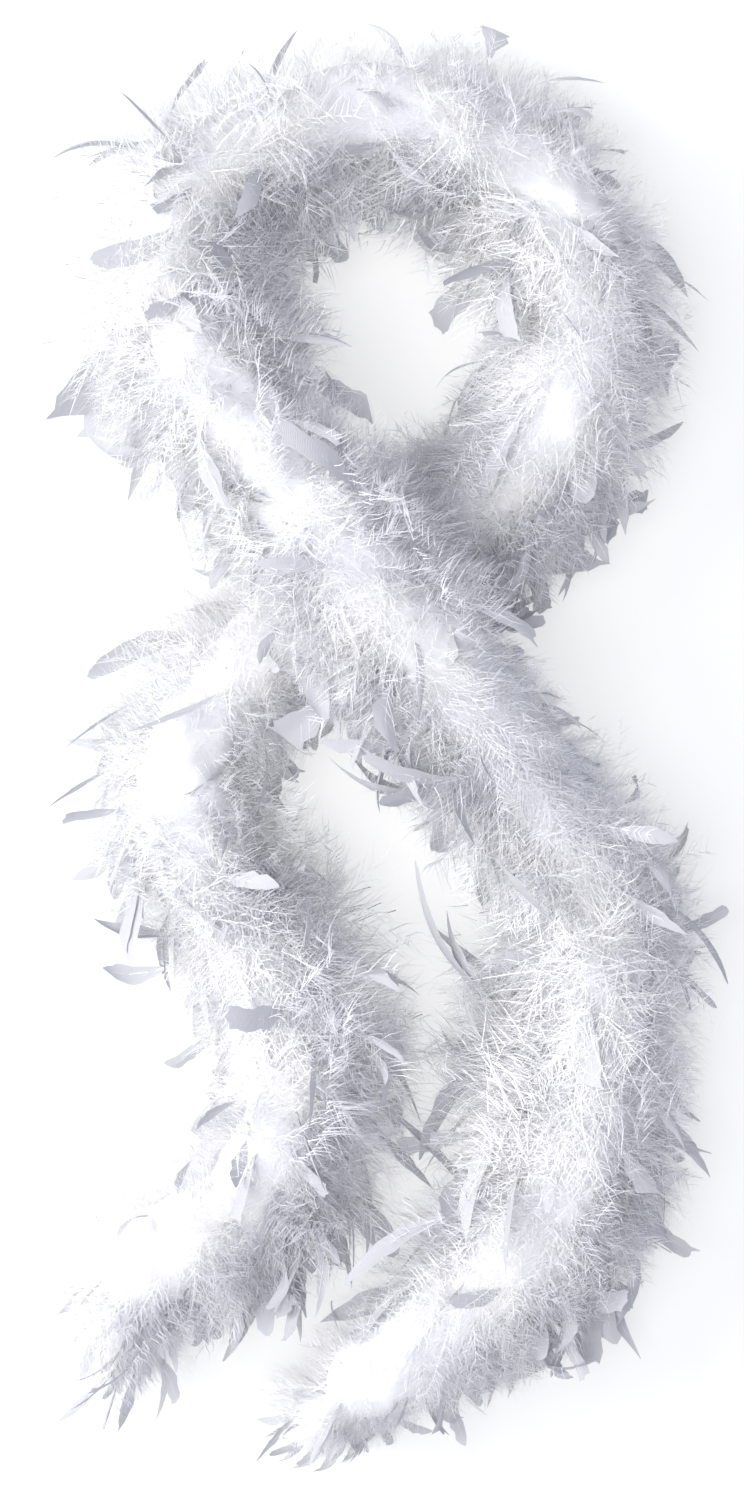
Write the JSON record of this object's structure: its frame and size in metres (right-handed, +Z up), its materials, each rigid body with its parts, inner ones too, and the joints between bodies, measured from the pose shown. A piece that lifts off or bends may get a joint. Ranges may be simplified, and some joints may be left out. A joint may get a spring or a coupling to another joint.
{
  "type": "feather boa",
  "caption": "Long fluffy feather scarf laid flat: a corded string of feather tufts in a neck loop, its strands crossed and both tails side by side.",
  "frame": {"origin": "middle of the laid boa's footprint, on the surface that it lies on", "axes": "+Z up from that surface, +Y along the laid boa from its two tails towards the neck loop, +X to the right as seen from above with the loop at the far end"},
  "size_m": [0.3534, 0.7696, 0.1564],
  "materials": {
    "feather": "matte",
    "core_cotton": "matte",
    "binding_thread": "satin"
  },
  "bodies": {
    "tuft_01": {"core_cord_01": "core_cotton", "quill_binding_01": "binding_thread", "plumage_01": "feather", "end_loop_left_tail": "core_cotton", "end_knot_left_tail": "core_cotton", "end_whipping_left_tail": "binding_thread"},
    "tuft_02": {"core_cord_02": "core_cotton", "quill_binding_02": "binding_thread", "plumage_02": "feather"},
    "tuft_03": {"core_cord_03": "core_cotton", "quill_binding_03": "binding_thread", "plumage_03": "feather"},
    "tuft_04": {"core_cord_04": "core_cotton", "quill_binding_04": "binding_thread", "plumage_04": "feather"},
    "tuft_05": {"core_cord_05": "core_cotton", "quill_binding_05": "binding_thread", "plumage_05": "feather"},
    "tuft_06": {"core_cord_06": "core_cotton", "quill_binding_06": "binding_thread", "plumage_06": "feather"},
    "tuft_07": {"core_cord_07": "core_cotton", "quill_binding_07": "binding_thread", "plumage_07": "feather"},
    "tuft_08": {"core_cord_08": "core_cotton", "quill_binding_08": "binding_thread", "plumage_08": "feather"},
    "tuft_09": {"core_cord_09": "core_cotton", "quill_binding_09": "binding_thread", "plumage_09": "feather"},
    "tuft_10": {"core_cord_10": "core_cotton", "quill_binding_10": "binding_thread", "plumage_10": "feather"},
    "tuft_11": {"core_cord_11": "core_cotton", "quill_binding_11": "binding_thread", "plumage_11": "feather"},
    "tuft_12": {"core_cord_12": "core_cotton", "quill_binding_12": "binding_thread", "plumage_12": "feather"},
    "tuft_13": {"core_cord_13": "core_cotton", "quill_binding_13": "binding_thread", "plumage_13": "feather"},
    "tuft_14": {"core_cord_14": "core_cotton", "quill_binding_14": "binding_thread", "plumage_14": "feather"},
    "tuft_15": {"core_cord_15": "core_cotton", "quill_binding_15": "binding_thread", "plumage_15": "feather", "end_loop_right_tail": "core_cotton", "end_knot_right_tail": "core_cotton", "end_whipping_right_tail": "binding_thread"}
  },
  "joints": [
    {"name": "swing_08_07", "type": "hinge", "parent": "tuft_08", "child": "tuft_07", "pos_m": [0.05951, 0.31108, 0.04968], "axis": [0, 0, 1], "range_deg": [-8, 5]},
    {"name": "swing_07_06", "type": "hinge", "parent": "tuft_07", "child": "tuft_06", "pos_m": [0.10772, 0.20837, 0.05005], "axis": [0, 0, -1], "range_deg": [-5, 6]},
    {"name": "swing_06_05", "type": "hinge", "parent": "tuft_06", "child": "tuft_05", "pos_m": [0.04303, 0.11356, 0.03922], "axis": [0, 0, 1], "range_deg": [-6, 6]},
    {"name": "lift_05_04", "type": "hinge", "parent": "tuft_05", "child": "tuft_04", "pos_m": [-0.05614, 0.04866, 0.03723], "axis": [-0.5932, 0.8051, 0], "range_deg": [0, 30]},
    {"name": "swing_04_03", "type": "hinge", "parent": "tuft_04", "child": "tuft_03", "pos_m": [-0.1025, -0.04728, 0.05027], "axis": [0, 0, 1], "range_deg": [-20, 12]},
    {"name": "lift_03_02", "type": "hinge", "parent": "tuft_03", "child": "tuft_02", "pos_m": [-0.04918, -0.14981, 0.04968], "axis": [-0.9739, -0.2271, 0], "range_deg": [0, 35]},
    {"name": "swing_02_01", "type": "hinge", "parent": "tuft_02", "child": "tuft_01", "pos_m": [-0.0825, -0.25493, 0.04968], "axis": [0, 0, -1], "range_deg": [-25, 14]},
    {"name": "swing_08_09", "type": "hinge", "parent": "tuft_08", "child": "tuft_09", "pos_m": [-0.05638, 0.31747, 0.04951], "axis": [0, 0, -1], "range_deg": [-8, 5]},
    {"name": "lift_09_10", "type": "hinge", "parent": "tuft_09", "child": "tuft_10", "pos_m": [-0.10465, 0.22228, 0.06435], "axis": [-0.9809, -0.1944, 0], "range_deg": [0, 20]},
    {"name": "swing_10_11", "type": "hinge", "parent": "tuft_10", "child": "tuft_11", "pos_m": [-0.04787, 0.12511, 0.10201], "axis": [0, 0, 1], "range_deg": [-6, 10]},
    {"name": "lift_11_12", "type": "hinge", "parent": "tuft_11", "child": "tuft_12", "pos_m": [0.03056, 0.03493, 0.10007], "axis": [-0.7826, -0.6225, 0], "range_deg": [0, 30]},
    {"name": "swing_12_13", "type": "hinge", "parent": "tuft_12", "child": "tuft_13", "pos_m": [0.10429, -0.06176, 0.05397], "axis": [0, 0, -1], "range_deg": [-20, 7]},
    {"name": "lift_13_14", "type": "hinge", "parent": "tuft_13", "child": "tuft_14", "pos_m": [0.11192, -0.18999, 0.04968], "axis": [-0.9886, 0.1507, 0], "range_deg": [0, 35]},
    {"name": "swing_14_15", "type": "hinge", "parent": "tuft_14", "child": "tuft_15", "pos_m": [0.04937, -0.2989, 0.04968], "axis": [0, 0, 1], "range_deg": [-25, 25]}
  ]
}
